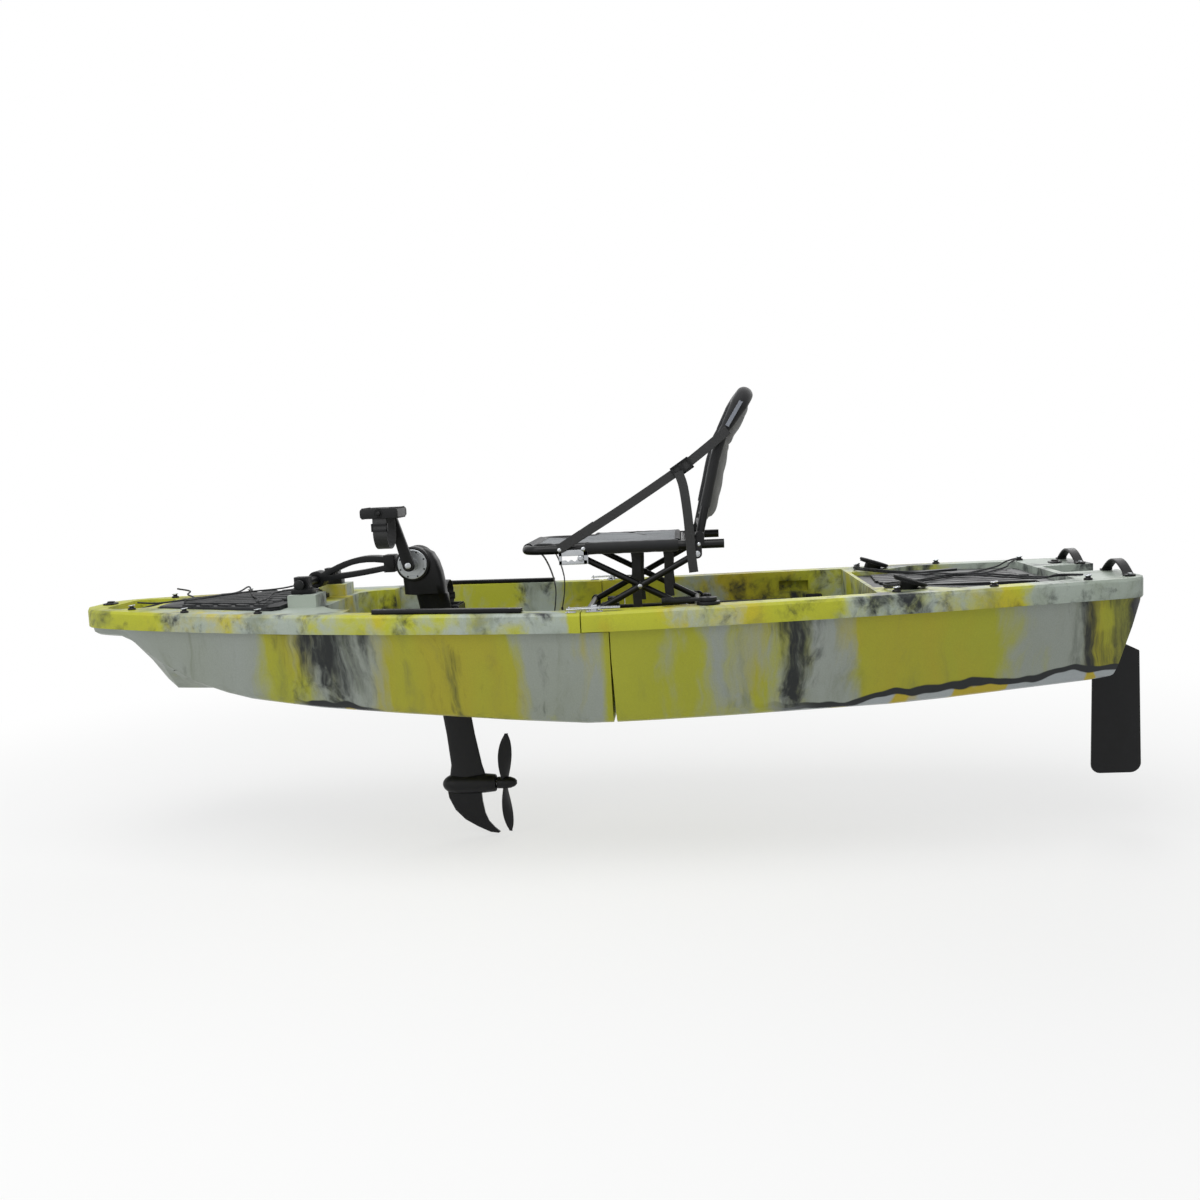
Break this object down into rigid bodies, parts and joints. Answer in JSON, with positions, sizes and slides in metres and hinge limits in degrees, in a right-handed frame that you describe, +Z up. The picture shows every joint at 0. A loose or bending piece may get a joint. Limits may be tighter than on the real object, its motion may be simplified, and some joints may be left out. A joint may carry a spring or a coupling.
{
  "type": "pedal kayak",
  "caption": "Two-section sit-on-top pedal kayak with a propeller drive on a swinging leg, a height-adjustable sliding seat, a steered rudder, a bow hatch and a covered tank well.",
  "frame": {"origin": "the flat of the keel on the centreline, under the joint in the gunwale", "axes": "+X towards the stern, +Y to starboard, +Z up"},
  "size_m": [2.9985, 0.9058, 1.246],
  "materials": {
    "hull": "moulded polyethylene, lime, pale green and dark streaks",
    "black_plastic": "satin",
    "rubber": "matte",
    "black_alu": "black anodised",
    "stainless": "brushed stainless steel",
    "fabric": "woven grey mesh",
    "webbing": "black webbing and cord"
  },
  "bodies": {
    "hull": {"bow_hull": "hull", "stern_hull": "hull", "drain_plugs": "black_plastic", "bow_grip": "black_plastic", "hatch_gasket": "rubber", "lid_brackets": "black_plastic", "deck_eyes": "black_plastic", "drive_clamps": "black_plastic", "console_tray": "black_plastic", "foot_mats": "rubber", "access_plates": "black_plastic", "deck_screws": "stainless", "gunwale_tracks": "black_alu", "latch_bases": "stainless", "latch_strikes": "stainless", "joint_bolts": "stainless", "seat_tracks": "black_alu", "rod_tubes": "black_plastic", "stern_handles": "black_plastic", "steer_base": "black_plastic", "rudder_cables": "stainless", "rudder_bracket": "black_plastic", "deck_cord": "webbing"},
    "lid": {"bow_lid": "black_plastic", "bow_bungee": "webbing"},
    "drive": {"pivot_bar": "black_alu", "drive_arm": "black_plastic", "drive_leg": "black_plastic", "drum_covers": "stainless", "gearcase": "black_plastic"},
    "crank": {"crank_axle": "stainless", "crank_port": "black_plastic", "crank_stbd": "black_plastic"},
    "pedal_p": {"pedal_port": "black_plastic"},
    "pedal_s": {"pedal_stbd": "black_plastic"},
    "shaft": {"drive_shaft": "stainless"},
    "prop": {"prop_shaft": "stainless", "propeller": "black_plastic"},
    "lever_p": {"latch_lever_port": "stainless"},
    "lever_s": {"latch_lever_stbd": "stainless"},
    "loop_p": {"latch_loop_port": "stainless"},
    "loop_s": {"latch_loop_stbd": "stainless"},
    "seat_base": {"front_brackets": "black_alu"},
    "seat_rear": {"rear_brackets": "black_alu"},
    "scissor_b": {"legs_b": "black_alu"},
    "scissor_a": {"legs_a": "black_alu"},
    "seat": {"seat_frame": "black_alu", "seat_mesh": "fabric", "seat_straps": "webbing"},
    "back": {"back_frame": "black_alu", "back_mesh": "fabric"},
    "cover": {"tank_cover": "black_plastic", "stern_bungee": "webbing"},
    "rod_cap_p": {"rod_cap_port": "rubber"},
    "rod_cap_s": {"rod_cap_stbd": "rubber"},
    "plug_p": {"scupper_plug_port": "rubber"},
    "plug_s": {"scupper_plug_stbd": "rubber"},
    "steer_hand": {"steer_lever": "black_plastic"},
    "yoke": {"rudder_yoke": "black_plastic"},
    "blade": {"rudder_blade": "black_plastic"}
  },
  "joints": [
    {"name": "lid_hinge", "type": "hinge", "parent": "hull", "child": "lid", "pos_m": [-0.828, 0, 0.32773], "axis": [0, 1, 0], "range_deg": [0, 85]},
    {"name": "drive_kick_up", "type": "hinge", "parent": "hull", "child": "drive", "pos_m": [-0.8, 0, 0.375], "axis": [0, -1, 0], "range_deg": [0, 5]},
    {"name": "crank_turn", "type": "hinge", "parent": "drive", "child": "crank", "pos_m": [-0.51, 0, 0.41], "axis": [0, 1, 0], "continuous": true},
    {"name": "pedal_port_turn", "type": "hinge", "parent": "crank", "child": "pedal_p", "pos_m": [-0.55276, -0.182, 0.56418], "axis": [0, 1, 0], "continuous": true},
    {"name": "pedal_stbd_turn", "type": "hinge", "parent": "crank", "child": "pedal_s", "pos_m": [-0.46724, 0.182, 0.25582], "axis": [0, 1, 0], "continuous": true},
    {"name": "shaft_turn", "type": "hinge", "parent": "drive", "child": "shaft", "pos_m": [-0.51, 0, 0.41], "axis": [0.1782, 0, -0.984], "continuous": true},
    {"name": "propeller_turn", "type": "hinge", "parent": "drive", "child": "prop", "pos_m": [-0.3, 0, -0.247], "axis": [1, 0, 0], "continuous": true},
    {"name": "latch_port", "type": "hinge", "parent": "hull", "child": "lever_p", "pos_m": [0.034, -0.432, 0.31125], "axis": [0, -1, 0], "range_deg": [0, 100]},
    {"name": "latch_loop_port", "type": "hinge", "parent": "lever_p", "child": "loop_p", "pos_m": [0.048, -0.432, 0.31125], "axis": [0, -1, 0], "range_deg": [-101, 1]},
    {"name": "rod_cap_port_lift", "type": "slide", "parent": "hull", "child": "rod_cap_p", "axis": [0.309, 0, 0.9511], "range_m": [0, 0.05]},
    {"name": "scupper_plug_port_lift", "type": "slide", "parent": "hull", "child": "plug_p", "axis": [0, 0, 1], "range_m": [0, 0.06]},
    {"name": "latch_stbd", "type": "hinge", "parent": "hull", "child": "lever_s", "pos_m": [0.034, 0.432, 0.31125], "axis": [0, -1, 0], "range_deg": [0, 100]},
    {"name": "latch_loop_stbd", "type": "hinge", "parent": "lever_s", "child": "loop_s", "pos_m": [0.048, 0.432, 0.31125], "axis": [0, -1, 0], "range_deg": [-101, 1]},
    {"name": "rod_cap_stbd_lift", "type": "slide", "parent": "hull", "child": "rod_cap_s", "axis": [0.309, 0, 0.9511], "range_m": [0, 0.05]},
    {"name": "scupper_plug_stbd_lift", "type": "slide", "parent": "hull", "child": "plug_s", "axis": [0, 0, 1], "range_m": [0, 0.06]},
    {"name": "seat_slide", "type": "slide", "parent": "hull", "child": "seat_base", "axis": [1, 0, 0], "range_m": [0, 0.2]},
    {"name": "seat_height", "type": "hinge", "parent": "seat_base", "child": "scissor_b", "pos_m": [-0.01, 0, 0.26], "axis": [0, 1, 0], "range_deg": [0, 18]},
    {"name": "scissor_cross", "type": "hinge", "parent": "scissor_b", "child": "scissor_a", "pos_m": [0.14494, 0, 0.34135], "axis": [0, 1, 0], "range_deg": [-36.1, 0.1]},
    {"name": "seat_level", "type": "hinge", "parent": "scissor_b", "child": "seat", "pos_m": [0.29989, 0, 0.42269], "axis": [0, 1, 0], "range_deg": [-18.1, 0.1]},
    {"name": "rear_bracket_slide", "type": "slide", "parent": "seat_base", "child": "seat_rear", "axis": [1, 0, 0], "range_m": [-0.001, 0.03611]},
    {"name": "back_fold", "type": "hinge", "parent": "seat", "child": "back", "pos_m": [0.308, 0, 0.471], "axis": [0, -1, 0], "range_deg": [0, 100], "deforming": ["seat_straps"]},
    {"name": "cover_lift", "type": "slide", "parent": "hull", "child": "cover", "axis": [0, 0, 1], "range_m": [0, 0.12]},
    {"name": "steer_lever_turn", "type": "hinge", "parent": "hull", "child": "steer_hand", "pos_m": [0.322, -0.402, 0.30539], "axis": [-0.0167, 0, 0.9999], "range_deg": [-35.5, 35.5]},
    {"name": "rudder_steer", "type": "hinge", "parent": "hull", "child": "yoke", "pos_m": [1.452, 0, 0.2], "axis": [0, 0, 1], "range_deg": [-35, 35], "deforming": ["rudder_cables"]},
    {"name": "blade_kick_up", "type": "hinge", "parent": "yoke", "child": "blade", "pos_m": [1.456, 0, 0.104], "axis": [0, -1, 0], "range_deg": [0, 75]}
  ],
  "couplings": [
    {"joint": "shaft_turn", "follows": "crank_turn", "ratio": 5},
    {"joint": "propeller_turn", "follows": "crank_turn", "ratio": 10},
    {"joint": "latch_loop_port", "follows": "latch_port", "ratio": -1},
    {"joint": "latch_loop_stbd", "follows": "latch_stbd", "ratio": -1},
    {"joint": "scissor_cross", "follows": "seat_height", "ratio": -2},
    {"joint": "seat_level", "follows": "seat_height", "ratio": -1},
    {"joint": "rear_bracket_slide", "follows": "seat_height", "m_per_rad": 0.11175},
    {"joint": "steer_lever_turn", "follows": "rudder_steer", "ratio": 1}
  ]
}
